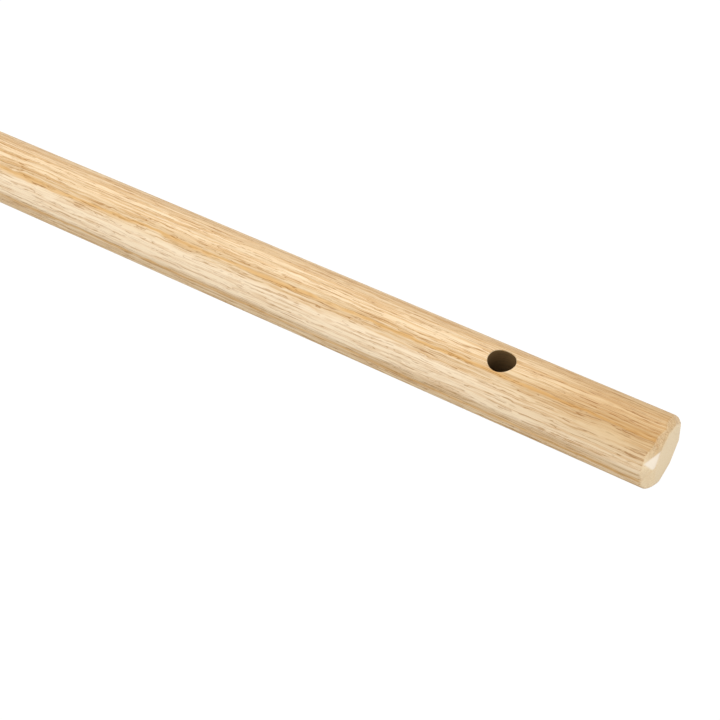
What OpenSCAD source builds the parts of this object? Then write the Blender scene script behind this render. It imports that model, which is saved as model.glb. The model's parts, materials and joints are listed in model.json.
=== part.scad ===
// Long-handled draw hoe with a riveted blade, lying at rest on its cutting edge and the butt of its handle.
//
// Every piece is drawn in the hoe's own frame, with the butt of the handle at the origin, the handle along +X,
// the width of the blade along Y and the blade hanging down. place() then turns the whole hoe end for end and
// tips it until the cutting edge and the butt both touch the ground, with the origin under its middle.

/* [Handle] */
// Diameter of the round ash handle
handle_d = 28; // [24:0.5:34]
// Length of the handle, from the butt to the end inside the ferrule
handle_len = 1400; // [700:10:1700]
// Length of the chamfer round the butt, along the handle
chamfer_len = 3.2; // [1:0.1:5]
// Depth of the chamfer, towards the middle of the handle
chamfer_depth = 2.5; // [1:0.1:5]
// Diameter of the hanging hole
hole_d = 10; // [6:0.5:12]
// Distance of the hanging hole from the butt
hole_from_butt = 65; // [30:1:120]

/* [Ferrule] */
// Length of the ferrule over the handle
ferrule_len = 60; // [40:1:90]
// Wall of the ferrule
ferrule_wall = 1.3; // [1:0.1:2]
// How much narrower the handle is at its end than at the back of the ferrule
ferrule_taper = 3; // [1:0.1:5]
// Diameter of the pin through the ferrule, handle and tang
pin_d = 4; // [3:0.1:5]

/* [Neck] */
// Diameter of the swan neck
neck_d = 12; // [10:0.5:14]
// Length of the tang inside the handle
tang_len = 95; // [60:1:120]
// Straight run in front of the collar
neck_run = 25; // [10:1:60]
// Angle that the neck first climbs
climb_angle = 28; // [10:1:40]
// Bend radius of the climb
climb_r = 90; // [60:1:120]
// Bend radius over the top
crook_r = 45; // [35:1:60]
// Angle between the blade, at the palm, and the handle
blade_angle = 75; // [60:1:85]

/* [Blade] */
// Width at the cutting edge
edge_w = 160; // [120:1:170]
// Width across the shoulders
shoulder_w = 112; // [90:1:120]
// Height from the top to the cutting edge
blade_h = 112; // [90:1:130]
// Thickness of the plate
blade_t = 2.5; // [2:0.1:3]
// Radius that the plate is curved to, from top to bottom
blade_bow_r = 400; // [300:10:800]
// Width of the ground bevel
bevel_w = 9; // [5:0.5:14]
// Diameter of the rivets' shanks
rivet_d = 5; // [4:0.5:6]

/* [Hidden] */
$fn = 96;

slack = 0.05;      // gap left all round a fitted shank or pin
crossing = 0.02;   // how far a corner's circle passes the sides that it rounds, so that they really cross
handle_r = handle_d / 2;
neck_r = neck_d / 2;
pin_r = pin_d / 2;
rivet_r = rivet_d / 2;

// Ferrule: a cup with a wide mouth, whose outside is flush with the handle behind it
ferrule_front_t = 2;                            // end wall in front of the handle
ferrule_x = handle_len - ferrule_len;           // where its mouth is
mouth_r = handle_r - ferrule_wall;              // handle inside the mouth
tip_r = mouth_r - ferrule_taper / 2;            // handle inside the closed end
bead_r = handle_r + 0.9;                        // rolled bead round the mouth
bead_len = 3;
nose_fillet = 3;                                // rounding of the ferrule's front corner
front_x0 = handle_len + ferrule_front_t;        // its front face
nose_r = tip_r + ferrule_wall;                  // its outside there
pin_x = handle_len - ferrule_len * 0.42;

// Neck: tang, collar, climb, crook and palm
collar_x = handle_len + ferrule_front_t + slack;
collar_len = 5;
collar_r = neck_r * 1.55;
collar_edge = 1.2;
tang_r = neck_r - 1;                            // where it enters the handle
tang_tip_r = tang_r / 2;
shank_x = collar_x + collar_len;                // where the round neck starts
climb_x = shank_x + neck_run;
crook_x = climb_x + (climb_r + crook_r) * sin(climb_angle);
crook_z = climb_r - (climb_r + crook_r) * cos(climb_angle);
fall_angle = 180 - blade_angle;                 // heading of the blade below the handle's line
crook_angle = climb_angle + fall_angle;

// Palm: the flat leaf at the end of the neck, measured from its middle along the blade
palm_t = 5;
palm_drop = 46;                                 // from the end of the crook to the palm's middle
palm_corner_r = 9.5;
palm_corners = [[-11, -8], [11, -8], [0, 15]];  // middles of its three round corners, each with a rivet
flatten_from = -40;                             // where the round neck starts to spread
flatten_to = -11;                               // where it has become the leaf
spread_w = 34;                                  // width of the cone there

// Each run of the neck is a little thinner than the one before it, and starts that far inside it
thinning = 0.08;
lap = 1;
climb_lap = lap / climb_r * 180 / PI;
crook_lap = lap / crook_r * 180 / PI;
leg_r = neck_r - 3 * thinning;                  // straight run between the crook and the palm

// Blade, measured from the middle of the palm: u runs down it and v stands out of its front face
top_u = -27;
edge_u = top_u + blade_h;
shoulder_u = top_u + 34;
edge_land = 0.4;                                // thickness left at the very edge
axis_x = crook_x + crook_r * sin(fall_angle);
axis_z = crook_z + crook_r * cos(fall_angle);
front_r = blade_bow_r + blade_t;                // the plate's front face is this far from the centre of its bow

// Depth of the curved inner face below the middle of the front face, at u
function back_v(u) = sqrt(pow(blade_bow_r, 2) - pow(u, 2)) - front_r;

// A point of the blade in the hoe's frame, from its u and v
function blade_point(u, v) = [
    axis_x + cos(fall_angle) * (palm_drop + u) + sin(fall_angle) * (v - neck_r),
    axis_z - sin(fall_angle) * (palm_drop + u) + cos(fall_angle) * (v - neck_r)
];

// Tip that brings the front corner of the cutting edge level with the lower corner of the butt
edge_point = blade_point(edge_u, back_v(edge_u) + edge_land);
tip_angle = atan((-handle_r - edge_point[1]) / (edge_point[0] - chamfer_len));
lift = handle_r * cos(tip_angle) - chamfer_len * sin(tip_angle);
front_x = crook_x * cos(tip_angle) - crook_z * sin(tip_angle) + crook_r + neck_r;
back_x = -(handle_r - chamfer_depth) * sin(tip_angle);
middle_x = (front_x + back_x) / 2;

// Rounded convex outline: the middle of the arc at corner i, and where that arc touches the side towards q
function unit(a) = a / norm(a);
function corner(p, i) = p[(i + len(p)) % len(p)];
function half_turn(p, i) =
    acos(unit(corner(p, i - 1) - p[i]) * unit(corner(p, i + 1) - p[i])) / 2;
function arc_middle(p, r, i) =
    p[i] + unit(unit(corner(p, i - 1) - p[i]) + unit(corner(p, i + 1) - p[i])) * r[i] / sin(half_turn(p, i));
function touch(p, r, i, q) = p[i] + unit(q - p[i]) * r[i] / tan(half_turn(p, i));

// Plate of height h on convex polygon p, with a true arc of radius r[i] at each corner
module rounded_plate(p, r, h) {
    linear_extrude(height = h, center = true)
        polygon([
            for (i = [0:len(p) - 1], side = [-1, 1]) touch(p, r, i, corner(p, i + side))
        ]);
    for (i = [0:len(p) - 1])
        translate(arc_middle(p, r, i)) cylinder(r = r[i] + crossing, h = h, center = true);
}

// Turns a profile of [x, r] points about the handle's line
module turned() {
    rotate([90, 0, 90]) rotate_extrude() children();
}

// Puts a profile drawn as [x along the handle, r] the way rotate_extrude wants it
module along_x() {
    mirror([1, -1]) children();
}

// Round bar of radius r bent into a hoop about the handle's line
module ring(x, hoop_r, r) {
    turned() along_x() translate([x, hoop_r]) circle(r);
}

// Children drawn with x across the blade, y down it and z out of its front face
module on_blade() {
    middle = blade_point(0, 0);
    translate([middle[0], 0, middle[1]])
        rotate([0, fall_angle, 0])
            rotate([0, 0, -90])
                children();
}

// Children standing square on the plate's front face at the middle of a rivet
module at_rivet(spot) {
    translate([spot[0], 0, -front_r])
        rotate([-asin(spot[1] / front_r), 0, 0])
            translate([0, 0, front_r])
                children();
}

// Part of a thick tube about the centre of the blade's bow, from one depth to another
module bowed_layer(from_v, to_v) {
    translate([0, 0, -front_r])
        rotate([0, 90, 0])
            difference() {
                cylinder(r = front_r + to_v, h = 2 * edge_w, center = true, $fn = 200);
                cylinder(r = front_r + from_v, h = 3 * edge_w, center = true, $fn = 200);
            }
}

// Whole hoe from its own frame to where it lies
module place() {
    rotate([0, 0, 180])
        translate([-middle_x, 0, lift])
            rotate([0, -tip_angle, 0])
                children();
}

module pin_hole(r) {
    translate([pin_x, 0, 0])
        rotate([90, 0, 0])
            cylinder(r = r, h = 4 * handle_r, center = true);
}

module tang_shape(extra) {
    translate([collar_x - tang_len, 0, 0])
        rotate([0, 90, 0])
            cylinder(r1 = tang_tip_r + extra, r2 = tang_r + extra, h = tang_len);
}

// Ash handle: chamfered butt, hanging hole, and a stepped tapered end under the ferrule
module handle() {
    color([0.87, 0.74, 0.55])
        difference() {
            turned() along_x() polygon([
                [0, 0],
                [0, handle_r - chamfer_depth],
                [chamfer_len, handle_r],
                [ferrule_x - slack, handle_r],
                [ferrule_x - slack, mouth_r - slack],
                [handle_len, tip_r - slack],
                [handle_len, 0]
            ]);
            translate([hole_from_butt, 0, 0])
                cylinder(r = hole_d / 2, h = 3 * handle_r, center = true);
            tang_shape(slack);
            pin_hole(pin_r + slack);
        }
}

// Tapered steel cup over the end of the handle, with a rolled bead round its mouth
module ferrule() {
    color([0.72, 0.73, 0.74])
        difference() {
            union() {
                turned() along_x() polygon([
                    [ferrule_x, 0],
                    [ferrule_x, handle_r],
                    [front_x0 - nose_fillet, nose_r],
                    [front_x0, nose_r - nose_fillet],
                    [front_x0, 0]
                ]);
                ring(front_x0 - nose_fillet, nose_r - nose_fillet, nose_fillet + crossing);
                ring(ferrule_x + bead_len / 2 + 0.1, bead_r - bead_len / 2, bead_len / 2);
            }
            turned() along_x() polygon([
                [ferrule_x - 1, 0],
                [ferrule_x - 1, mouth_r],
                [ferrule_x, mouth_r],
                [handle_len, tip_r],
                [handle_len, 0]
            ]);
            translate([handle_len - 1, 0, 0])
                rotate([0, 90, 0]) cylinder(r = tang_r + 2 * slack, h = 10);
            pin_hole(pin_r + slack);
        }
}

// Steel pin across the ferrule, handle and tang, its ends closed into low domes
module ferrule_pin() {
    half = handle_r + (nose_r - handle_r) * (pin_x - ferrule_x) / (front_x0 - nose_fillet - ferrule_x);
    color([0.6, 0.6, 0.6])
        translate([pin_x, 0, 0])
            for (side = [-1, 1])
                rotate([90 * side, 0, 0]) {
                    cylinder(r = pin_r, h = half);
                    translate([0, 0, half]) dome(pin_r, pin_r * 0.35);
                }
}

// Leaf-shaped palm, bent to lie against the front of the blade
module palm() {
    intersection() {
        union() {
            linear_extrude(height = 3 * palm_t, center = true)
                polygon([
                    for (i = [0:2], side = [-1, 1])
                        palm_corners[i] + palm_corner_r * palm_normal(i, side)
                ]);
            for (c = palm_corners)
                translate(c) cylinder(r = palm_corner_r + crossing, h = 3 * palm_t, center = true);
        }
        bowed_layer(0, palm_t);
    }
}

// Outward normal of the palm's side between corner i and the one before or after it
function palm_normal(i, side) =
    let (
        a = palm_corners[i],
        b = palm_corners[(i + side + 3) % 3],
        along = unit(b - a),
        across = [along[1], -along[0]],
        inside = (palm_corners[0] + palm_corners[1] + palm_corners[2]) / 3 - a
    ) across * inside > 0 ? -across : across;

// Round neck hammered wider and thinner until it is the palm: a widening cone cut by a narrowing wedge
module spread() {
    start = flatten_from - lap;
    intersection() {
        translate([0, start, neck_r])
            rotate([-90, 0, 0])
                cylinder(r1 = leg_r - thinning, r2 = spread_w / 2, h = flatten_to - start);
        rotate([90, 0, 90])
            linear_extrude(height = 2 * spread_w, center = true)
                polygon([
                    [start, 0],
                    [flatten_to, 0],
                    [flatten_to, palm_t - 0.3],
                    [start, 2 * neck_r]
                ]);
    }
}

// Round bar of radius r bent to radius bend_r in the plane of the swan neck, about x, z:
// it starts at angle from (0 is along +X) and turns through angle turn
module bend(x, z, bend_r, r, from, turn) {
    translate([x, 0, z])
        rotate([90, 0, 0])
            rotate([0, 0, from])
                rotate_extrude(angle = turn)
                    translate([bend_r, 0]) circle(r);
}

// Swan neck: tang, collar, climb, crook and palm in one forging
module neck() {
    color([0.2, 0.2, 0.21])
        difference() {
            union() {
                tang_shape(0);
                turned() along_x() polygon([
                    [collar_x - 1, 0],
                    [collar_x - 1, tang_r],
                    [collar_x, tang_r],
                    [collar_x, collar_r - collar_edge],
                    [collar_x + collar_edge, collar_r],
                    [shank_x - collar_edge, collar_r],
                    [shank_x, neck_r],
                    [climb_x, neck_r],
                    [climb_x, 0]
                ]);
                bend(climb_x, climb_r, climb_r, neck_r - thinning,
                     -90 - climb_lap, climb_angle + climb_lap);
                bend(crook_x, crook_z, crook_r, neck_r - 2 * thinning,
                     90 - fall_angle, crook_angle + crook_lap);
                on_blade() {
                    translate([0, flatten_from, neck_r])
                        rotate([90, 0, 0])
                            cylinder(r = leg_r, h = palm_drop + flatten_from + lap);
                    spread();
                    palm();
                }
            }
            on_blade()
                for (spot = palm_corners)
                    at_rivet(spot) cylinder(r = rivet_r + slack, h = 4 * palm_t, center = true);
            pin_hole(pin_r + slack);
        }
}

// Bowed plate with round shoulders, three rivet holes and a bevel ground along its front
module blade() {
    half_edge = edge_w / 2;
    half_shoulder = shoulder_w / 2;
    outline = [
        [-half_edge, edge_u],
        [half_edge, edge_u],
        [half_shoulder, shoulder_u],
        [half_shoulder * 0.45, top_u],
        [-half_shoulder * 0.45, top_u],
        [-half_shoulder, shoulder_u]
    ];
    tip_v = back_v(edge_u) + edge_land;
    grind_v = back_v(edge_u - bevel_w) + blade_t;
    slope = (grind_v - tip_v) / bevel_w;
    color([0.62, 0.63, 0.65])
        on_blade()
            difference() {
                intersection() {
                    rounded_plate(outline, [3, 3, 40, 30, 30, 40], 80);
                    bowed_layer(-blade_t, 0);
                }
                for (spot = palm_corners)
                    at_rivet(spot) cylinder(r = rivet_r + slack, h = 4 * palm_t, center = true);
                rotate([90, 0, 90])
                    linear_extrude(height = 2 * edge_w, center = true)
                        polygon([
                            [edge_u - bevel_w, grind_v],
                            [edge_u + 5, tip_v - 5 * slope],
                            [edge_u + 5, 20],
                            [edge_u - bevel_w, 20]
                        ]);
            }
}

// Shallow dome of a given radius and height, flat side down
module dome(r, h) {
    ball_r = (r * r + h * h) / (2 * h);
    rotate_extrude()
        intersection() {
            translate([0, h - ball_r]) circle(ball_r);
            square([r, h]);
        }
}

// Solid rivet: a high head on the palm, and a lower one closed against the back of the blade
module rivet(spot) {
    back = -blade_t - slack;
    color([0.7, 0.7, 0.71])
        on_blade()
            at_rivet(spot) {
                translate([0, 0, back]) cylinder(r = rivet_r, h = palm_t - back);
                translate([0, 0, palm_t]) dome(rivet_d * 0.95, rivet_d * 0.5);
                translate([0, 0, back]) mirror([0, 0, 1]) dome(rivet_d * 0.85, rivet_d * 0.3);
            }
}

place() handle();
place() ferrule();
place() ferrule_pin();
place() neck();
place() blade();
place() rivet(palm_corners[0]);  // rivet_left
place() rivet(palm_corners[1]);  // rivet_right
place() rivet(palm_corners[2]);  // rivet_lower
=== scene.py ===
# %% [markdown]
# # A draw hoe, seen close at the butt of its ash handle
#
# The hoe is a round ash handle, a steel ferrule, a forged swan neck and a thin blade that is riveted to
# the neck. The CAD model gives the main sizes and every place. This file makes the surfaces that the
# eye sees, and adds small shapes, such as flats, soft edges and hammer marks, that the CAD leaves out.

# %% Load the CAD model
import json
import math

import bpy
from mathutils import Matrix, Vector, noise


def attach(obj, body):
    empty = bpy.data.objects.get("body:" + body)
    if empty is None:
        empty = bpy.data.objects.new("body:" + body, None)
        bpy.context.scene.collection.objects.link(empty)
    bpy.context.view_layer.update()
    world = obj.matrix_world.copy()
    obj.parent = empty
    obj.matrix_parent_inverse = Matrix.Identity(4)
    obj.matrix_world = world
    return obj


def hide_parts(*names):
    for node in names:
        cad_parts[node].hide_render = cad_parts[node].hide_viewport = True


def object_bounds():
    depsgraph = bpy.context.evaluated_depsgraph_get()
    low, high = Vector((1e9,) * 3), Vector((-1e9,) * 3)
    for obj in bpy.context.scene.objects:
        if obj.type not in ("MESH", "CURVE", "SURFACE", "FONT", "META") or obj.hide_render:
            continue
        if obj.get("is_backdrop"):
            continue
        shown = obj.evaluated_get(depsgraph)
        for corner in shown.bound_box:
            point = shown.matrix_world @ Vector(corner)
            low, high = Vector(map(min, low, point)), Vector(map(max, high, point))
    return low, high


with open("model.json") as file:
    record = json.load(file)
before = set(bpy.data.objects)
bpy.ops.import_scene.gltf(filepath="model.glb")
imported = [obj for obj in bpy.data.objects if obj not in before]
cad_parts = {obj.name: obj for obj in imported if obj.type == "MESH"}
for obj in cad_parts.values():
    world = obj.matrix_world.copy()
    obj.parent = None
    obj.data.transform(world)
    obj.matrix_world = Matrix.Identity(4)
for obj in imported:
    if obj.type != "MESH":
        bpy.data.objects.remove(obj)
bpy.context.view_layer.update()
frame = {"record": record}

# %% [markdown]
# ## The hoe's own frame
#
# The hoe lies tipped on the ground, so its pieces are easier to make in a frame of their own, in
# millimetres: x runs from the butt along the handle, z up through the hanging hole and y across. The
# record's mounts give that frame its place: the hole's middle and axis, and the handle's axis.

# %% The hoe's frame from the mounts
MM = 0.001
HANDLE_R = 14.0
HOLE_FROM_BUTT = 65.0
mounts = {m["name"]: m for m in frame["record"]["mounts"]}
up = Vector(mounts["hanging_hole"]["axis"]).normalized()
forward = -Vector(mounts["handle_shaft"]["axis"]).normalized()
across = up.cross(forward)
butt = Vector(mounts["hanging_hole"]["pos_m"]) - forward * HOLE_FROM_BUTT * MM
turn = Matrix((forward, across, up)).transposed()
from_hoe = Matrix.Translation(butt) @ turn.to_4x4() @ Matrix.Diagonal((MM, MM, MM, 1))


def in_world(x, y, z):
    """A point of the hoe's frame, in mm, as a point of the shared frame, in metres."""
    return from_hoe @ Vector((x, y, z))


print("butt of the handle at", [round(v, 4) for v in butt])

# %% [markdown]
# ## Small tools
#
# A few helpers serve every piece: one turns a hex colour to the linear values that shaders use, one adds
# a node with its settings and links, one makes an object from points and faces, and one says what a
# piece stands for in the CAD model.

# %% Colours, nodes and meshes
SMOOTH = {"interpolation_type": "SMOOTHSTEP"}  # for a Map Range node that eases in and out
OVER = {"data_type": "RGBA", "clamp_result": True}  # for a Mix node that lays colour over colour


def linear(code):
    """An sRGB hex colour as linear red, green, blue and alpha."""
    parts = [int(code[i:i + 2], 16) / 255 for i in (1, 3, 5)]
    return [c / 12.92 if c <= 0.04045 else ((c + 0.055) / 1.055) ** 2.4 for c in parts] + [1.0]


def join(tree, source, socket):
    """Links an output, or the first live output of a node, to an input."""
    if isinstance(source, bpy.types.Node):
        source = next(output for output in source.outputs if output.enabled)
    tree.links.new(source, socket)


def add(tree, kind, sockets=None, **settings):
    """Adds a node. A shader node's kind leaves out its prefix. sockets maps an input's name or number to
    a value, or to the output or node that feeds it."""
    made = tree.nodes.new(kind if "Node" in kind else "ShaderNode" + kind)
    for name, value in settings.items():
        setattr(made, name, value)
    for key, value in (sockets or {}).items():
        if isinstance(value, (bpy.types.NodeSocket, bpy.types.Node)):
            join(tree, value, made.inputs[key])
        else:
            made.inputs[key].default_value = value
    return made


def shown(name, data):
    """A new object in the scene."""
    made = bpy.data.objects.new(name, data)
    bpy.context.scene.collection.objects.link(made)
    return made


def mesh_piece(name, points, faces, smooth_angle=35):
    """An object from points in the hoe's frame, without the points that no face uses. Faces are smooth,
    but edges over smooth_angle stay sharp."""
    used = sorted({p for face in faces for p in face})
    number = {p: k for k, p in enumerate(used)}
    mesh = bpy.data.meshes.new(name)
    mesh.from_pydata([in_world(*points[p]) for p in used], [],
                     [tuple(number[p] for p in face) for face in faces])
    mesh.validate()
    mesh.update()
    mesh.shade_smooth()
    mesh.set_sharp_from_angle(angle=math.radians(smooth_angle))
    return shown(name, mesh)


def stands_for(piece, slot, *nodes):
    """Says which body a piece rides on and which CAD nodes it replaces. slot is not used."""
    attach(piece, "root")
    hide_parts(*nodes)
    print(piece.name, "replaces", ", ".join(nodes), "with", len(piece.data.polygons), "faces")


print("mid grey is", round(linear("#808080")[0], 3), "in linear light")

# %% [markdown]
# ## Finishes
#
# Every finish starts from the same points, the hoe's own millimetres, so that each pattern's scale is a
# real size. Two more helpers make most of the patterns: noise drawn out to given lengths, and a second
# colour laid over the first where such a noise is high or low.

# %% Small tools for finishes


def finish_tree(name):
    """A new material, its tree, its shader, and its points in the hoe's millimetres."""
    material = bpy.data.materials.new(name)
    material.use_nodes = True
    tree = material.node_tree
    place = add(tree, "Mapping", {"Vector": add(tree, "TexCoord").outputs["Object"], "Location": butt,
                                  "Rotation": turn.to_euler(), "Scale": (MM, MM, MM)},
                vector_type="TEXTURE")
    return material, tree, tree.nodes["Principled BSDF"], place


def stretched(tree, source, lengths, **sockets):
    """Noise whose features have about these lengths along the three axes of source."""
    scaled = add(tree, "VectorMath", {0: source, 1: [1 / v for v in lengths]}, operation="MULTIPLY")
    return add(tree, "TexNoise", {"Vector": scaled, "Scale": 1.0, **sockets})


def laid_over(tree, tone, code, pattern, low, high, most=1.0, thinned=None):
    """A finish's colour with another laid over it as a pattern goes from low to high. most is its
    largest share, and thinned is a pattern that it is multiplied by."""
    share = add(tree, "MapRange", {0: pattern, 1: low, 2: high, 4: most}, **SMOOTH)
    if thinned:
        share = add(tree, "Math", {0: share, 1: thinned}, operation="MULTIPLY")
    return add(tree, "Mix", {0: share, 6: tone, 7: linear(code)}, **OVER)


def bumped(tree, shader, height, depth_mm, strength=1.0, **side):
    """Joins a height pattern to the shader as relief."""
    relief = add(tree, "Bump", {"Strength": strength, "Distance": depth_mm * MM, "Height": height}, **side)
    join(tree, relief, shader.inputs["Normal"])


print("a finish's points are", 1 / MM, "to the metre")

# %% [markdown]
# ## Ash for the handle
#
# The handle is ash, turned, sanded along the grain and wiped with oil. Ash is ring-porous: each year
# starts with a row of open vessels, which show on a sanded face as thin golden-brown lines, wavy and
# broken, about a millimetre apart where the rings are cut square and further apart where the face runs
# level with them. The rest is cream to tan. The pattern is solid: it is laid out in the handle's own
# millimetres, so it runs through the end and the hole as real grain does. One axis follows the grain,
# one crosses the rings and one runs level with them.
#
# Grain is never straight. It ripples by a few tenths of a millimetre and wanders slowly by a millimetre
# or so, so each point is first moved across the grain by smooth noise. A turn then gives the coordinate
# that counts the rings.

# %% Where a point lies in the wood
RINGS_FACE = math.radians(27)  # the rings face the user, this far above level
GRAIN_RUNS_OUT = math.radians(0.35)  # the plank was sawn this far off the grain
ash, tree, shader, place = finish_tree("oiled_ash")


def swayed(source, lengths, reach):
    """Points moved across the grain by smooth noise."""
    sway = stretched(tree, place, lengths, Detail=1.0).outputs["Color"]
    centred = add(tree, "VectorMath", {0: sway, 1: (0.5, 0.5, 0.5)}, operation="SUBTRACT")
    return add(tree, "VectorMath", {0: centred, 1: (0, reach, reach), 2: source},
               operation="MULTIPLY_ADD")


def ring_axes(source, runs_out):
    """Points turned so that x follows the grain and y crosses the rings."""
    level = add(tree, "VectorRotate", {"Vector": source, "Angle": -RINGS_FACE}, rotation_type="X_AXIS")
    return add(tree, "VectorRotate", {"Vector": level, "Angle": -runs_out}, rotation_type="Z_AXIS")


def through_rings(points_in_rings):
    """Distance from the handle's middle, straight through the rings."""
    return add(tree, "SeparateXYZ", {0: points_in_rings}).outputs["Y"]


rippled = swayed(swayed(place, (18, 7, 7), 1.1), (5, 2.5, 2.5), 0.55)
grain = ring_axes(swayed(rippled, (120, 30, 30), 2.4), GRAIN_RUNS_OUT)
at_dark_year = through_rings(ring_axes(rippled, GRAIN_RUNS_OUT))
at_pale_sheen_band = through_rings(ring_axes(swayed(place, (30, 9, 9), 0.7), 0.0))
print("points of the wood:", len(tree.nodes), "nodes")

# %% [markdown]
# Four noises make the figure, each drawn out along the grain: slow changes from year to year, streaks,
# vessel lines and short open pores. A vessel line lies where its noise crosses the middle value, which
# gives long thin broken lines. Lines and pores are wider than the real 0.2 mm, so that they show.

# %% Years, streaks, vessel lines and pores
year = stretched(tree, grain, (260, 2.4, 4), Detail=1.0)
streak = stretched(tree, grain, (34, 0.65, 0.85), Detail=2.0, Roughness=0.55)
vessel = stretched(tree, grain, (30, 0.6, 0.75), Detail=1.0, Roughness=0.5)
pore = stretched(tree, grain, (7.0, 0.7, 0.9), Detail=1.0)

off_middle = add(tree, "Math", {0: vessel, 1: 0.5}, operation="SUBTRACT")
off_middle = add(tree, "Math", {0: off_middle}, operation="ABSOLUTE")
on_line = add(tree, "MapRange", {0: off_middle, 1: 0.0, 2: 0.045, 3: 1.0, 4: 0.0}, **SMOOTH)
unbroken = add(tree, "MapRange", {0: streak, 1: 0.30, 2: 0.56}, **SMOOTH)
line = add(tree, "Math", {0: on_line, 1: unbroken}, operation="MULTIPLY")
print("figure of the wood:", len(tree.nodes), "nodes")

# %% A pale band, partly pale years and partly painted sheen, and a dark year
# A band on the rings' side of the handle is painted pale: partly wide pale years, partly a painted sheen.
PALE_SHEEN_BAND_R = 13.2  # outside this, in mm from the middle, lies a band of wide pale years
DARK_YEAR = 10.5  # and here a year with a dark early row of vessels
spot = add(tree, "SeparateXYZ", {0: place}).outputs
from_butt = spot["X"]
outside = add(tree, "MapRange", {0: at_pale_sheen_band, 1: PALE_SHEEN_BAND_R - 0.5, 2: PALE_SHEEN_BAND_R + 0.3}, **SMOOTH)
along = add(tree, "MapRange", {0: from_butt, 1: 20, 2: 110, 3: 0.6, 4: 0.9}, **SMOOTH)
pale = add(tree, "Math", {0: outside, 1: along}, operation="MULTIPLY")
plainer = add(tree, "Math", {0: pale, 1: -0.35, 2: 1.0}, operation="MULTIPLY_ADD")
early = add(tree, "Math", {0: at_dark_year, 1: DARK_YEAR}, operation="SUBTRACT")
early = add(tree, "Math", {0: early}, operation="ABSOLUTE")
early = add(tree, "MapRange", {0: early, 1: 0.1, 2: 0.7, 3: 0.6, 4: 0.0}, **SMOOTH)
print("the pale band starts", round(HANDLE_R - PALE_SHEEN_BAND_R, 1), "mm under the surface")

# %% The colours of the wood
tone = laid_over(tree, linear("#E7CBA2"), "#DBBD92", year, 0.40, 0.60)
# The pale band: pale wood, and a painted sheen along the handle.
tone = add(tree, "Mix", {0: pale, 6: tone, 7: linear("#F6E1C1")}, **OVER)
tone = add(tree, "Mix", {0: early, 6: tone, 7: linear("#DBA54E")}, **OVER)
tone = laid_over(tree, tone, "#C99752", streak, 0.46, 0.64, 0.5, plainer)
tone = laid_over(tree, tone, "#F2DFBD", streak, 0.46, 0.32, 0.38, plainer)
strong_line = add(tree, "Math", {0: line, 1: 0.9}, operation="MULTIPLY")
strong_line = add(tree, "Math", {0: strong_line, 1: plainer}, operation="MULTIPLY")
tone = add(tree, "Mix", {0: strong_line, 6: tone, 7: linear("#A26C20")}, **OVER)
tone = laid_over(tree, tone, "#A67832", pore, 0.62, 0.74, 0.3, plainer)

# Oil and handling have yellowed the top of the butt most, and the far side a little.
near_butt = add(tree, "MapRange", {0: from_butt, 1: 90, 2: 4, 4: 0.52}, **SMOOTH)
on_top = add(tree, "MapRange", {0: spot["Z"], 1: 3, 2: 12}, **SMOOTH)
round_butt = add(tree, "Math", {0: near_butt, 1: on_top}, operation="MULTIPLY")
far_side = add(tree, "MapRange", {0: spot["Y"], 1: 1, 2: -6, 4: 0.22}, **SMOOTH)
yellowed = add(tree, "Math", {0: round_butt, 1: far_side}, operation="MAXIMUM")
tone = add(tree, "Mix", {0: yellowed, 6: tone, 7: linear("#CEB060")}, blend_type="MULTIPLY", **OVER)
print("colours of the wood:", len(tree.nodes), "nodes")

# %% [markdown]
# End grain, sanded across, is plainer. Where the face looks along the grain, on the flat end and on the
# chamfer low on the user's right, the wood is painted pale cream: partly sanded end grain, partly
# painted light on these faces. A near-white three-cornered patch on the chamfer is a painted highlight.

# %% The sanded end, painted pale: end grain and painted light
facing = add(tree, "VectorMath", {0: add(tree, "TexCoord").outputs["Normal"], 1: forward},
             operation="DOT_PRODUCT")
facing = add(tree, "Math", {0: facing}, operation="ABSOLUTE")
toward_pale_chamfer = add(tree, "VectorMath", {0: place, 1: (0, 0.6, -0.8)}, operation="DOT_PRODUCT")
on_chamfer = add(tree, "MapRange", {0: facing, 1: 0.25, 2: 0.65}, **SMOOTH)
pale_chamfer_side = add(tree, "MapRange", {0: toward_pale_chamfer, 1: -9, 2: 6, 3: 0.25, 4: 0.75}, **SMOOTH)
bared_and_lit = add(tree, "Math", {0: on_chamfer, 1: pale_chamfer_side}, operation="MULTIPLY")
flat_end = add(tree, "MapRange", {0: facing, 1: 0.82, 2: 0.97, 4: 0.9}, **SMOOTH)
end = add(tree, "Math", {0: flat_end, 1: bared_and_lit}, operation="MAXIMUM")
speck = stretched(tree, place, (9, 0.5, 0.5), Detail=2.0)
end_grain_and_light = laid_over(tree, linear("#F9E3BC"), "#E2C291", speck, 0.5, 0.68, 0.3)
# The flat end and the chamfer are painted pale cream: partly sanded end grain, partly painted light on
# faces that look along the handle.
tone = add(tree, "Mix", {0: end, 6: tone, 7: end_grain_and_light}, **OVER)
print("sanded end:", len(tree.nodes), "nodes")

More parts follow.
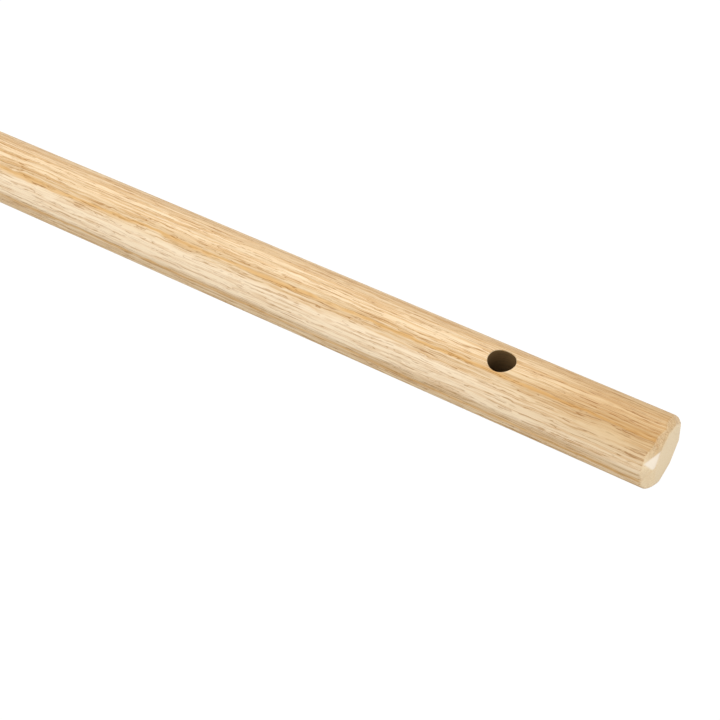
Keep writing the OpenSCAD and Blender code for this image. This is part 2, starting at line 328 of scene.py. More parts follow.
# %% The bright patch, a painted highlight on a sanded facet
PATCH_AT = (1.1, 8.5, 6.9)
stroke = Vector((-0.24, -0.78, 0.57)).normalized()
beside = stroke.cross(Vector((0, *PATCH_AT[1:]))).normalized()
stroke_turn = Matrix((stroke, beside, stroke.cross(beside))).transposed().to_euler()
patch = add(tree, "Mapping", {"Vector": place, "Location": PATCH_AT, "Rotation": stroke_turn,
                              "Scale": (3.6, 1.9, 1.9)}, vector_type="TEXTURE")
on_patch = add(tree, "SeparateXYZ", {0: patch}).outputs
half_wide = add(tree, "Math", {0: on_patch["X"], 1: -0.5, 2: 0.55}, operation="MULTIPLY_ADD")
off_line = add(tree, "Math", {0: on_patch["Y"]}, operation="ABSOLUTE")
inside = add(tree, "Math", {0: half_wide, 1: off_line}, operation="SUBTRACT")
off_face = add(tree, "Math", {0: on_patch["Z"]}, operation="ABSOLUTE")
bright = 1.0
for source, low, high, most in ((inside, -0.1, 0.25, 1.0), (on_patch["X"], -1.1, -0.8, 0.8),
                                (off_face, 1.3, 0.9, 1.0)):
    limit = add(tree, "MapRange", {0: source, 1: low, 2: high, 4: most}, **SMOOTH)
    bright = add(tree, "Math", {0: bright, 1: limit}, operation="MULTIPLY")
# A near-white patch painted on a sanded facet: a painted highlight, over paler bare wood.
tone = add(tree, "Mix", {0: bright, 6: tone, 7: linear("#FFF3E2")}, **OVER)
join(tree, tone, shader.inputs["Base Color"])
print("bright patch", round(Vector((0, *PATCH_AT[1:])).length, 1), "mm from the handle's axis")

# %% The surface of the wood
rough = add(tree, "MapRange", {0: streak, 1: 0.3, 2: 0.7, 3: 0.44, 4: 0.58}, **SMOOTH)
join(tree, rough, shader.inputs["Roughness"])
open_pore = add(tree, "MapRange", {0: pore, 1: 0.6, 2: 0.75, 4: 0.5}, **SMOOTH)
depth = add(tree, "Math", {0: line, 1: 0.6, 2: open_pore}, operation="MULTIPLY_ADD")
bumped(tree, shader, depth, 0.12, 0.2, invert=True)
shader.inputs["IOR"].default_value = 1.5
print(ash.name, "has", len(tree.nodes), "nodes")

# %% [markdown]
# The wall of the hanging hole is painted a dull dark brown in fine rings: painted shade for the deep,
# narrow hole.

# %% Painted shade for the hole's wall
painted_hole_shade, tree, shader, place = finish_tree("hole_wall_painted_shade")
drill_ring = stretched(tree, place, (9, 9, 0.4), Detail=2.0)
# Dark brown painted shade on the hole's wall, in faint rings.
tone = laid_over(tree, linear("#634B28"), "#70542C", drill_ring, 0.35, 0.65)
join(tree, tone, shader.inputs["Base Color"])
shader.inputs["Roughness"].default_value = 0.8
shader.inputs["IOR"].default_value = 1.5
print(painted_hole_shade.name, "has", len(tree.nodes), "nodes")

# %% [markdown]
# ## The handle
#
# A lathe leaves the handle round, and a few strokes of a spokeshave have left it faintly flat on top
# and underneath, where the hole comes out, and along the sides. The radius is therefore a rule of the
# angle and the place along the handle. The butt's chamfer was sanded by hand, so it is a ring of
# small uneven flats: each is a plane that cuts the end, and the radius is the least that any of them
# allows.

# %% The rule for the handle's radius
HANDLE_LEN = 1400.0
FERRULE_X = 1340.0
FLATS = ((0.0, 13.72), (math.radians(96), 13.22), (math.pi, 13.7), (math.radians(-91), 13.5))
SANDED = [  # each flat's angle, distance from the axis at the very end, slope, and softness of its edges
    (-20, 11.6, 0.90, 0.35), (22, 11.1, 1.05, 0.35), (56, 9.7, 1.10, 0.35), (92, 9.3, 1.0, 1.0),
    (140, 11.4, 1.1, 1.3), (182, 11.2, 0.9, 0.6), (226, 11.2, 0.95, 0.35), (272, 11.3, 0.9, 0.35),
    (312, 11.5, 0.95, 0.35),
]
RIM_DROP, RIM_WIDTH = 0.7, 1.0  # the sanded rim of the flat end is rounded over by this much


def soft_min(a, b, blend_mm):
    """The lesser of two lengths, with the corner between them rounded over blend_mm."""
    h = max(blend_mm - abs(a - b), 0.0) / blend_mm
    return min(a, b) - h * h * blend_mm / 4


def handle_radius(x, angle):
    """Distance of the handle's surface from its axis, at x from the butt and angle from the top."""
    r = HANDLE_R
    for centre, flat in FLATS:
        c = math.cos(angle - centre)
        if c > 0.5:
            r = soft_min(r, flat / c, 0.12)
    r -= 0.03 * (1 + noise.noise(Vector((x / 45, 3 * math.cos(angle), 3 * math.sin(angle)))))
    if x < 12:
        for centre, start, slope, soft in SANDED:
            c = math.cos(angle - math.radians(centre))
            if c > 0.4:
                r = soft_min(r, (start + slope * x) / c, soft)
        r -= RIM_DROP * max(0.0, 1 - x / RIM_WIDTH) ** 3
    return r


print("radius 100 mm from the butt, top and side:", round(handle_radius(100, 0), 2),
      round(handle_radius(100, math.pi / 2), 2))

# %% [markdown]
# The mesh is rings of points along the handle. Round each mouth of the hanging hole a window is left out
# of the rings and filled with points that spread from the round edge of the hole to the square edge of
# the window, so the hole is cut cleanly with no boolean. The drill has rounded its edge a little.

# %% Stations along the handle
SIDES = 160
HOLE_R = 5.0
WINDOW_X, WINDOW_SIDES = 9.0, 16
stations = [0.0, 0.04, 0.09, 0.16, 0.25, 0.36, 0.5, 0.65, 0.8, 1.0, 1.2]
stations += [0.3 * i for i in range(5, 21)] + [6 + 2.5 * i for i in range(1, 20)]
window = [HOLE_FROM_BUTT - WINDOW_X + i for i in range(int(2 * WINDOW_X) + 1)]
stations = [x for x in stations if x < window[0] - 0.5] + window
stations += [window[-1] + 2.0 * i for i in range(1, 30)]
while stations[-1] < FERRULE_X - 10:
    stations.append(min(stations[-1] + 6, FERRULE_X - 0.05))
print(len(stations), "rings of", SIDES, "points")

# %% Rings and ends
points, faces = [], []


def handle_point(x, angle, r=None):
    """Adds a point on the handle, at the rule's radius or another, and gives its number."""
    r = handle_radius(x, angle) if r is None else r
    points.append((x, r * math.sin(angle), r * math.cos(angle)))
    return len(points) - 1


def ring_faces(a, b, skip=()):
    """Quads between two rings of point numbers."""
    n = len(a)
    for i in range(n):
        if i not in skip:
            faces.append((a[i], b[i], b[(i + 1) % n], a[(i + 1) % n]))


angles = [2 * math.pi * i / SIDES for i in range(SIDES)]
rings = [[handle_point(x, a) for a in angles] for x in stations]
half = SIDES // 2
cut = {i % SIDES for i in range(-WINDOW_SIDES, WINDOW_SIDES)}
cut |= {i + half for i in range(-WINDOW_SIDES, WINDOW_SIDES)}
for x, a, b in zip(stations, rings, rings[1:]):
    ring_faces(a, b, cut if window[0] <= x < window[-1] else ())

# The butt: rings shrink to its middle.
inner = rings[0]
for share in (0.94, 0.85, 0.7, 0.5, 0.3, 0.12):
    new = [handle_point(0.0, a, share * handle_radius(0, a)) for a in angles]
    ring_faces(new, inner)
    inner = new
faces.append(tuple(inner))
# The stepped and tapered end inside the ferrule.
for x, r in ((FERRULE_X - 0.05, 12.65), (HANDLE_LEN, 11.15), (HANDLE_LEN, 2.0)):
    new = [handle_point(x, a, r) for a in angles]
    ring_faces(rings[-1], new)
    rings.append(new)
faces.append(tuple(reversed(rings[-1])))
print(len(faces), "faces without the windows")

# %% The mouths of the hanging hole
TORN_OUT = 0.55  # the drill tore the lip out this far, towards the butt


def shrunk(loop, by, down):
    """A copy of a loop of points round the hole, drawn in towards its axis and moved down it."""
    made = []
    for p in loop:
        x, y, z = points[p]
        dx = x - HOLE_FROM_BUTT
        keep = 1 - by / math.hypot(dx, y)
        points.append((HOLE_FROM_BUTT + dx * keep, y * keep, z - down))
        made.append(len(points) - 1)
    return made


def hole_mouth(side):
    """Fills the window on the top (side 1) or the underside (side -1) and returns the hole's edge."""
    first, last = stations.index(window[0]), stations.index(window[-1])
    base = 0 if side == 1 else half
    edge = [rings[first][(base + side * i) % SIDES] for i in range(-WINDOW_SIDES, WINDOW_SIDES)]
    edge += [rings[k][(base + side * WINDOW_SIDES) % SIDES] for k in range(first, last)]
    edge += [rings[last][(base + side * i) % SIDES] for i in range(WINDOW_SIDES, -WINDOW_SIDES, -1)]
    edge += [rings[k][(base - side * WINDOW_SIDES) % SIDES] for k in range(last, first, -1)]
    outer = []
    for p in edge:
        x, y, z = points[p]
        outer.append((x - HOLE_FROM_BUTT, math.atan2(y, z * side)))
    loop = edge
    for share in (0.8, 0.62, 0.46, 0.32, 0.2, 0.1, 0.03, 0.0):
        new = []
        for dx, a in outer:
            spin = math.atan2(a * HANDLE_R, dx)
            torn = 0.10 * noise.noise(Vector((2 * math.cos(spin), 2 * math.sin(spin), 5 * side)))
            r = HOLE_R + 0.25 + torn + TORN_OUT * max(0.0, -math.cos(spin)) ** 3
            hole_dx, hole_a = r * math.cos(spin), math.asin(r * math.sin(spin) / HANDLE_R)
            angle = hole_a + (a - hole_a) * share
            new.append(handle_point(HOLE_FROM_BUTT + hole_dx + (dx - hole_dx) * share,
                                    angle if side == 1 else math.pi - angle))
        ring_faces(loop, new) if side == 1 else ring_faces(new, loop)
        loop = new
    lip = loop
    for by, down in ((0.08, 0.04), (0.19, 0.16), (0.25, 0.35)):
        new = shrunk(lip, by, side * down)
        ring_faces(loop, new) if side == 1 else ring_faces(new, loop)
        loop = new
    return loop


top_edge, low_edge = hole_mouth(1), hole_mouth(-1)
print(len(top_edge), "points round each mouth")

# %% The wall of the hole and the finished handle
wood_faces = len(faces)
wall = top_edge
WALL_STEPS = 15
for k in range(1, WALL_STEPS):
    new = []
    for a, b in zip(top_edge, low_edge):
        points.append(tuple(Vector(points[a]).lerp(Vector(points[b]), k / WALL_STEPS)))
        new.append(len(points) - 1)
    ring_faces(wall, new)
    wall = new
ring_faces(wall, low_edge)
handle = mesh_piece("ash_handle", points, faces, 50)
handle.data.materials.append(ash)
# The hole's wall takes the dark brown painted shade.
handle.data.materials.append(painted_hole_shade)
for face in list(handle.data.polygons)[wood_faces:]:
    face.material_index = 1
stands_for(handle, "ash", "handle")

# %% [markdown]
# ## Satin zinc plate for the ferrule
#
# Zinc plate is a soft satin grey. The spun cap keeps faint turning lines round it, and the zinc dulls in
# patches.

# %% Satin zinc plate
zinc, tree, shader, place = finish_tree("satin_zinc_plate")
turned = stretched(tree, place, (0.35, 60, 60), Detail=2.0)
dulled = stretched(tree, place, (9, 9, 9), Detail=4.0, Roughness=0.6)
join(tree, laid_over(tree, linear("#A9ABAC"), "#C3C4C3", dulled, 0.35, 0.65), shader.inputs["Base Color"])
shader.inputs["Metallic"].default_value = 1.0
satin = add(tree, "MapRange", {0: dulled, 1: 0.3, 2: 0.7, 3: 0.42, 4: 0.3}, **SMOOTH)
lines = add(tree, "MapRange", {0: turned, 1: 0.3, 2: 0.7, 3: -0.04, 4: 0.06}, **SMOOTH)
join(tree, add(tree, "Math", {0: satin, 1: lines}, operation="ADD"), shader.inputs["Roughness"])
bumped(tree, shader, turned, 0.015)
print(zinc.name, "has", len(tree.nodes), "nodes")

# %% [markdown]
# ## The ferrule
#
# A ferrule is spun from tube, so it is a shape of revolution: a profile that turns round the handle's
# axis. Its mouth is rolled back into a bead that keeps it round, the cone grips the wood, and the nose
# is rounded over to close on the neck.

# %% The lathe
FERRULE_LEN = 62.0
MOUTH_R, NOSE_R = 14.0, 12.5
BEAD_X, BEAD_HOOP_R, BEAD_R = 1341.6, 13.4, 1.5


def arc(x, r, radius, start, end, steps):
    """Points of a profile on an arc, with angles in degrees from +x towards larger radius."""
    sweep = [math.radians(start + (end - start) * k / steps) for k in range(steps + 1)]
    return [(x + radius * math.cos(a), r + radius * math.sin(a)) for a in sweep]


def lathe(name, profile, sides, smooth_angle=35):
    """A piece turned round the handle's axis from a closed profile of (x, radius)."""
    made, skin = [], []
    for x, r in profile:
        for k in range(sides):
            a = 2 * math.pi * k / sides
            made.append((x, r * math.sin(a), r * math.cos(a)))
    for i in range(len(profile)):
        low, high = i * sides, (i + 1) % len(profile) * sides
        for k in range(sides):
            n = (k + 1) % sides
            skin.append((low + k, high + k, high + n, low + n))
    return mesh_piece(name, made, skin, smooth_angle)


def cone(x):
    """The ferrule's outer radius at x."""
    return MOUTH_R + (NOSE_R - MOUTH_R) * (x - FERRULE_X) / FERRULE_LEN


nose_x = FERRULE_X + FERRULE_LEN
print("the cone narrows from", MOUTH_R, "to", NOSE_R, "mm in radius")

# %% The ferrule's profile
profile = [(1346.0, 12.75), (1340.9, 12.75)] + arc(BEAD_X, BEAD_HOOP_R, BEAD_R, 205, 22, 14)
profile += [(x, cone(x)) for x in (1343.3, 1344.0, 1352, 1362, 1372, 1382, 1392, 1398)]
profile += arc(nose_x - 3, cone(nose_x) - 3, 3, 80, 0, 7) + [(nose_x, 7.2), (nose_x - 0.4, 6.2)]
profile += [(nose_x - 1.3, 6.2), (nose_x - 1.5, 10.5), (nose_x - 4, 11.1)]
ferrule = lathe("ferrule_cap", profile, 96, 40)
ferrule.data.materials.append(zinc)
stands_for(ferrule, "ferrule_steel", "ferrule")

# %% [markdown]
# Rivets and the ferrule's pin are plain steel, headed over with a hammer: small flat facets, a little
# brighter where the hammer struck, on darker steel.

# %% Hammered steel
hammered, tree, shader, place = finish_tree("hammered_steel")
struck = stretched(tree, place, (2.2, 2.2, 2.2), Detail=1.0)
grime = stretched(tree, place, (4, 4, 4), Detail=4.0)
tone = laid_over(tree, linear("#77787A"), "#A3A4A5", struck, 0.4, 0.6)
tone = laid_over(tree, tone, "#5B5753", grime, 0.5, 0.7, 0.5)
join(tree, tone, shader.inputs["Base Color"])
shader.inputs["Metallic"].default_value = 1.0
rough = add(tree, "MapRange", {0: grime, 1: 0.35, 2: 0.65, 3: 0.26, 4: 0.48}, **SMOOTH)
join(tree, rough, shader.inputs["Roughness"])
bumped(tree, shader, struck, 0.05, 0.5)
print(hammered.name, "has", len(tree.nodes), "nodes")

# %% [markdown]
# ## Rivets
#
# A rivet is a short bar with a dome on each end. All four are the same shape with other sizes, so one
# Geometry Nodes tree makes them. It takes a ball, draws its middle rows into a shank and its outer rows
# into two domes, and adds hammer marks from noise whose seed differs for each rivet.

# %% Starting and running a Geometry Nodes tree


def start_tree(name, inputs):
    """A Geometry Nodes tree with named inputs, its first node and its last."""
    tree = bpy.data.node_groups.new(name, "GeometryNodeTree")
    tree.interface.new_socket("Geometry", in_out="INPUT", socket_type="NodeSocketGeometry")
    for title, kind, value in inputs:
        made = tree.interface.new_socket(title, in_out="INPUT", socket_type="NodeSocket" + kind)
        if value is not None:
            made.default_value = value
    tree.interface.new_socket("Geometry", in_out="OUTPUT", socket_type="NodeSocketGeometry")
    return tree, add(tree, "NodeGroupInput").outputs, add(tree, "NodeGroupOutput")


def grown(name, tree, values, source=None):
    """Runs a Geometry Nodes tree with these input values and returns the result as a plain piece."""
    host = shown(name, source or bpy.data.meshes.new(name + "_start"))
    step = host.modifiers.new("tree", "NODES")
    step.node_group = tree
    names = {s.name: s.identifier for s in tree.interface.items_tree if s.in_out == "INPUT"}
    for title, value in values.items():
        step[names[title]] = value
    done = host.evaluated_get(bpy.context.evaluated_depsgraph_get())
    mesh = bpy.data.meshes.new_from_object(done)
    mesh.materials.clear()
    mesh.materials.append(values["Finish"])
    host.modifiers.remove(step)
    bpy.data.objects.remove(host)
    mesh.name = name
    return shown(name, mesh)


print("a tree's result is kept as a plain mesh, and the modifier goes")

# %% From a ball to a rivet
rivet_tree, given, out = start_tree("headed_rivet", [
    ("Head radius", "Float", 0.005), ("Head height", "Float", 0.002), ("Back radius", "Float", 0.004),
    ("Back height", "Float", 0.0015), ("Grip", "Float", 0.007), ("Shank radius", "Float", 0.0025),
    ("Hammer depth", "Float", 0.0001), ("Seed", "Int", 0), ("At", "Vector", None),
    ("Turn", "Rotation", None), ("Finish", "Material", None)])
tree = rivet_tree
WAIST = 0.2  # rows of the ball nearer its middle than this become the shank
FIRST_DOME_ROW = 0.2588  # the height of the next row up, which becomes the rim of a head
ball = add(tree, "GeometryNodeMeshUVSphere", {"Segments": 40, "Rings": 24, "Radius": 1.0})
spot = add(tree, "SeparateXYZ", {0: add(tree, "GeometryNodeInputPosition")}).outputs
rise = add(tree, "Math", {0: spot["Z"]}, operation="ABSOLUTE")
sign = add(tree, "Math", {0: spot["Z"]}, operation="SIGN")
is_shank = add(tree, "Math", {0: rise, 1: WAIST}, operation="LESS_THAN")
is_back = add(tree, "Math", {0: spot["Z"], 1: 0.0}, operation="LESS_THAN")
up_dome = add(tree, "MapRange", {0: rise, 1: FIRST_DOME_ROW, 2: 1.0})


def beside_axis(height):
    """Distance from the axis of a ball's surface at a height, for a ball of radius 1."""
    square = add(tree, "Math", {0: height, 1: 2.0}, operation="POWER")
    return add(tree, "Math", {0: add(tree, "Math", {0: 1.0, 1: square}, operation="SUBTRACT")},
               operation="SQRT")


radius, height = (
    add(tree, "GeometryNodeSwitch", {0: is_back, 1: given["Head " + size], 2: given["Back " + size]},
        input_type="FLOAT") for size in ("radius", "height"))
half_grip = add(tree, "Math", {0: given["Grip"], 1: 0.5}, operation="MULTIPLY")
dome_r = add(tree, "Math", {0: radius, 1: beside_axis(up_dome)}, operation="MULTIPLY")
dome_z = add(tree, "Math", {0: height, 1: up_dome, 2: half_grip}, operation="MULTIPLY_ADD")
dome_z = add(tree, "Math", {0: sign, 1: dome_z}, operation="MULTIPLY")
shank_z = add(tree, "Math", {0: half_grip, 1: 4.0}, operation="MULTIPLY")
shank_z = add(tree, "Math", {0: spot["Z"], 1: shank_z}, operation="MULTIPLY")
new_r, new_z = (add(tree, "GeometryNodeSwitch", {0: is_shank, 1: dome, 2: shank}, input_type="FLOAT")
                for dome, shank in ((dome_r, given["Shank radius"]), (dome_z, shank_z)))
old_r = add(tree, "Math", {0: beside_axis(rise), 1: 0.001}, operation="MAXIMUM")
scale = add(tree, "Math", {0: new_r, 1: old_r}, operation="DIVIDE")
new_x, new_y = (add(tree, "Math", {0: spot[axis], 1: scale}, operation="MULTIPLY") for axis in "XY")
moved = add(tree, "CombineXYZ", {0: new_x, 1: new_y, 2: new_z})
shaped = add(tree, "GeometryNodeSetPosition", {"Geometry": ball, "Position": moved})
print("rivet shape:", len(tree.nodes), "nodes")

# %% The rivet's hammer marks, place and finish
blows = add(tree, "TexNoise", {"Vector": add(tree, "GeometryNodeInputPosition"), "W": given["Seed"],
                               "Scale": 330.0, "Detail": 0.0}, noise_dimensions="4D")
inwards = add(tree, "Math", {0: given["Hammer depth"], 1: -1.0}, operation="MULTIPLY")
dent = add(tree, "Math", {0: blows, 1: inwards}, operation="MULTIPLY")
push = add(tree, "VectorMath", {0: add(tree, "GeometryNodeInputNormal"), "Scale": dent},
           operation="SCALE")
shaped = add(tree, "GeometryNodeSetPosition", {"Geometry": shaped, "Offset": push})
smooth = add(tree, "GeometryNodeSetShadeSmooth", {"Geometry": shaped})
put = add(tree, "GeometryNodeTransform", {"Geometry": smooth, "Translation": given["At"],
                                          "Rotation": given["Turn"]})
real = add(tree, "GeometryNodeRealizeInstances", {0: put})
last = add(tree, "GeometryNodeSetMaterial", {"Geometry": real, "Material": given["Finish"]})
join(tree, last, out.inputs[0])
print("headed_rivet:", len(tree.nodes), "nodes")

# %% [markdown]
# The blade leans back 75 degrees from the handle's line. Its own frame starts where its face meets the
# middle of the neck's leg: u runs down the blade to the edge, v out of its front face, and the blade is
# bowed like a shallow dish, so its front face falls away from v = 0 as u grows.

# %% The blade's frame
FALL = math.radians(105)
LEG_X, LEG_Z, LEG_U, LEG_V = 1538.90, -40.84, -46.0, 6.0
BOW_R, BLADE_T = 400.0, 2.5
down = Vector((math.cos(FALL), 0, -math.sin(FALL)))
outward = Vector((math.sin(FALL), 0, math.cos(FALL)))


def bow(u):
    """How far the blade's front face falls back at u."""
    return math.sqrt((BOW_R + BLADE_T) ** 2 - u * u) - (BOW_R + BLADE_T)


def on_blade(side, u, v):
    """A point of the hoe's frame from a place on the blade, with v measured from u = 0's front face."""
    p = Vector((LEG_X, side, LEG_Z)) + down * (u - LEG_U) + outward * (v - LEG_V)
    return tuple(p)


print("the edge is", round(bow(0) - bow(85), 1), "mm behind the middle of the blade's bow")

# %% The rivets and the ferrule's pin
palm_thick = 5.0
rivets = {"left": (11, -8), "right": (-11, -8), "lower": (0, 15)}
for seed, (name, (side, u)) in enumerate(rivets.items()):
    middle = bow(u) + (palm_thick - BLADE_T - 0.05) / 2
    face_out = (from_hoe.to_3x3() @ (outward + down * (u / BOW_R) * -1)).normalized()
    rivet = grown("rivet_" + name + "_headed", rivet_tree, {
        "Head radius": 4.75 * MM, "Head height": 2.45 * MM, "Back radius": 4.25 * MM,
        "Back height": 1.45 * MM, "Grip": (palm_thick + BLADE_T + 0.05) * MM, "Shank radius": 2.4 * MM,
        "Hammer depth": 0.3 * MM, "Seed": seed, "At": in_world(*on_blade(side, u, middle)),
        "Turn": face_out.to_track_quat("Z", "Y").to_euler(), "Finish": hammered})
    stands_for(rivet, "rivet_steel", "rivet_" + name)

PIN_X, PIN_R, PIN_HALF = 1374.8, 2.0, 13.12
pin = grown("pin_through_ferrule", rivet_tree, {
    "Head radius": PIN_R * MM, "Head height": 0.66 * MM, "Back radius": PIN_R * MM,
    "Back height": 0.66 * MM, "Grip": 2 * PIN_HALF * MM, "Shank radius": 1.9 * MM,
    "Hammer depth": 0.12 * MM, "Seed": 9, "At": in_world(PIN_X, 0, 0),
    "Turn": across.to_track_quat("Z", "Y").to_euler(), "Finish": hammered})
stands_for(pin, "rivet_steel", "ferrule_pin")

# %% [markdown]
# ## Black lacquer over forging scale
#
# The neck was forged hot, so its skin has shallow hammer flats and a fine crust of scale. A dip of black
# lacquer covers that: it pools smooth and glossy in the hollows and lies thin and duller on the high
# spots.

# %% The forged finish
forged, tree, shader, place = finish_tree("black_lacquer_on_scale")
scale_crust = stretched(tree, place, (0.9, 0.9, 0.9), Detail=4.0, Roughness=0.65)
pooled = stretched(tree, place, (7, 7, 7), Detail=3.0)
tone = laid_over(tree, linear("#1C1C1D"), "#2B2A29", pooled, 0.4, 0.6)
tone = laid_over(tree, tone, "#4A4744", scale_crust, 0.58, 0.72, 0.4)
join(tree, tone, shader.inputs["Base Color"])
rough = add(tree, "MapRange", {0: pooled, 1: 0.35, 2: 0.65, 3: 0.32, 4: 0.5}, **SMOOTH)
join(tree, rough, shader.inputs["Roughness"])
shader.inputs["Coat Weight"].default_value = 0.4
shader.inputs["Coat Roughness"].default_value = 0.25
bumped(tree, shader, scale_crust, 0.09, 0.7)
print(forged.name, "has", len(tree.nodes), "nodes")

# %% [markdown]
# ## The swan neck
#
# The neck is one bar that follows a path, so a Geometry Nodes tree sweeps it. The path is a line of
# points that carry the bar's half width, half thickness and squareness. The tree lays a circle at each
# point, stretches it to those sizes and presses in the hammer marks. The bar leaves the ferrule through
# a collar, climbs, crooks over through 133 degrees, and its leg flattens into a leaf against the blade.

# %% The path of the bar
SHANK_R, COLLAR_R = 6.0, 9.3
COLLAR_X, COLLAR_LEN, SHANK_END = 1402.05, 5.0, 1432.05
CLIMB, CLIMB_R, CROOK_R = math.radians(28), 90.0, 45.0
path = []  # place, half width, half thickness, squareness (2 is round)


def station(x, z, wide, thick=None, power=2.0):
    """Adds a place on the bar's path, with the bar's size and squareness there."""
    path.append(((x, 0, z), wide, wide if thick is None else thick, power))


for x, r in ((-7, 6), (0, 6), (0.02, 8.2), (0.35, 8.95), (1.1, 9.25), (2.5, 9.3), (3.9, 9.25), (4.65, 8.95),
             (4.98, 8.2), (5.0, 7.0), (5.6, 6.35), (7, 6.02)):
    station(COLLAR_X + x, 0, r)
for k in range(1, 12):
    station(COLLAR_X + 7 + (SHANK_END - COLLAR_X - 7) * k / 12, 0, SHANK_R - 0.005 * k)
for k in range(31):
    a = CLIMB * k / 30
    station(SHANK_END + CLIMB_R * math.sin(a), CLIMB_R * (1 - math.cos(a)), 5.94 - 0.02 * k / 30)
top_x = SHANK_END + (CLIMB_R + CROOK_R) * math.sin(CLIMB)
top_z = CLIMB_R - (CLIMB_R + CROOK_R) * math.cos(CLIMB)
for k in range(1, 61):
    a = CLIMB - (CLIMB + FALL) * k / 60
    station(top_x - CROOK_R * math.sin(a), top_z + CROOK_R * math.cos(a), 5.92 - 0.1 * k / 60)

print(len(path), "points down to the end of the crook")

# %% The leaf
# Its width swells from the bar, round its upper rivets, and narrows round the lower one to a thin tip.
SPREAD_U, PALM_U = -43.0, -11.0  # the bar starts to flatten here and is flat here
LEG_R = 5.8
LEAF = [(-43, 5.78), (-38, 6.7), (-32, 8.8), (-26, 11.2), (-21, 13.8), (-16.5, 17.0), (-12.5, 19.5),
        (-8, 20.4), (-4, 19.5), (19, 8.6), (21, 7.3), (22.5, 5.8), (23.5, 4.2), (24.2, 2.4), (24.4, 0.9)]


def leaf_width(u):
    """Half the leaf's width at u, straight between the sizes above."""
    if u <= LEAF[0][0]:
        return LEAF[0][1]
    for (u0, w0), (u1, w1) in zip(LEAF, LEAF[1:]):
        if u0 <= u <= u1:
            return w0 + (w1 - w0) * (u - u0) / (u1 - u0)
    return LEAF[-1][1]


u = LEG_U + 1.5
while u < LEAF[-1][0]:
    flat = min(max((u - SPREAD_U) / (PALM_U - SPREAD_U), 0.0), 1.0)
    flat = flat * flat * (3 - 2 * flat)
    thick = LEG_R + (palm_thick / 2 - LEG_R) * flat
    if u > 20:
        thick -= 0.25 * (u - 20) ** 2 / 10
    soft = sum(leaf_width(u + 1.2 * d) for d in (-2, -1, 0, 1, 2)) / 5 if u < 15 else leaf_width(u)
    v = LEG_V + (bow(u) + thick - LEG_V) * flat if flat < 1 else bow(u) + thick
    x, y, z = on_blade(0, u, v)
    station(x, z, max(soft, 0.9), thick, 2.0 + 3.5 * flat)
    u += 1.6 if u < 19 else 0.6
print("the bar's path has", len(path), "points")

# %% [markdown]
# The sweep keeps each path point's place, direction and sizes, and each circle point's place on the
# circle. The surface is then set from those: so far to the side, so far through, in the plane that stays
# upright along the whole path, with no twist.

# %% Values carried through the sweep
neck_tree, given, out = start_tree("forged_bar", [
    ("Sides", "Int", 64), ("Across", "Vector", None), ("Hammer depth", "Float", 0.0002),
    ("Hammer size", "Float", 0.008), ("Seed", "Int", 0), ("Finish", "Material", None)])
tree = neck_tree


def kept(geometry, value, kind="FLOAT"):
    """Keeps a value with the points, so that it survives the sweep. A value given by name is one that
    the path's points carry. Gives the geometry and the value."""
    if isinstance(value, str):
        value = add(tree, "GeometryNodeInputNamedAttribute", {"Name": value}, data_type=kind)
    node = add(tree, "GeometryNodeCaptureAttribute")
    node.capture_items.new(kind, "kept")
    join(tree, geometry, node.inputs[0])
    join(tree, value, node.inputs[1])
    return node.outputs[0], node.outputs[1]


rail = add(tree, "GeometryNodeMeshToCurve", {0: given["Geometry"]})
rail, centre = kept(rail, add(tree, "GeometryNodeInputPosition"), "VECTOR")
rail, along = kept(rail, add(tree, "GeometryNodeInputTangent"), "VECTOR")
rail, wide = kept(rail, "half_width")
rail, thick = kept(rail, "half_thickness")
rail, power = kept(rail, "squareness")
hoop = add(tree, "GeometryNodeCurvePrimitiveCircle", {"Resolution": given["Sides"], "Radius": 1.0})
hoop, on_hoop = kept(hoop, add(tree, "GeometryNodeInputPosition"), "VECTOR")
tube = add(tree, "GeometryNodeCurveToMesh", {"Curve": rail, "Profile Curve": hoop, "Fill Caps": True})
print("sweep:", len(tree.nodes), "nodes")

# %% The bar's cross-section
hoop_at = add(tree, "SeparateXYZ", {0: on_hoop}).outputs
exponent = add(tree, "Math", {0: 2.0, 1: power}, operation="DIVIDE")


def side_of_bar(way, value, reach):
    """How far and which way the surface lies from the path, from one coordinate of the circle. The
    circle is pushed towards a rounded square."""
    size = add(tree, "Math", {0: value}, operation="ABSOLUTE")
    size = add(tree, "Math", {0: size, 1: exponent}, operation="POWER")
    sign = add(tree, "Math", {0: value}, operation="SIGN")
    size = add(tree, "Math", {0: size, 1: sign}, operation="MULTIPLY")
    size = add(tree, "Math", {0: size, 1: reach}, operation="MULTIPLY")
    return add(tree, "VectorMath", {0: way, "Scale": size}, operation="SCALE")


depth_way = add(tree, "VectorMath", {0: along, 1: given["Across"]}, operation="CROSS_PRODUCT")
on_bar = add(tree, "VectorMath", {0: side_of_bar(given["Across"], hoop_at["X"], wide),
                                  1: side_of_bar(depth_way, hoop_at["Y"], thick)}, operation="ADD")
on_bar = add(tree, "VectorMath", {0: centre, 1: on_bar}, operation="ADD")
tube = add(tree, "GeometryNodeSetPosition", {"Geometry": tube, "Position": on_bar})
print("with its cross-section:", len(tree.nodes), "nodes")

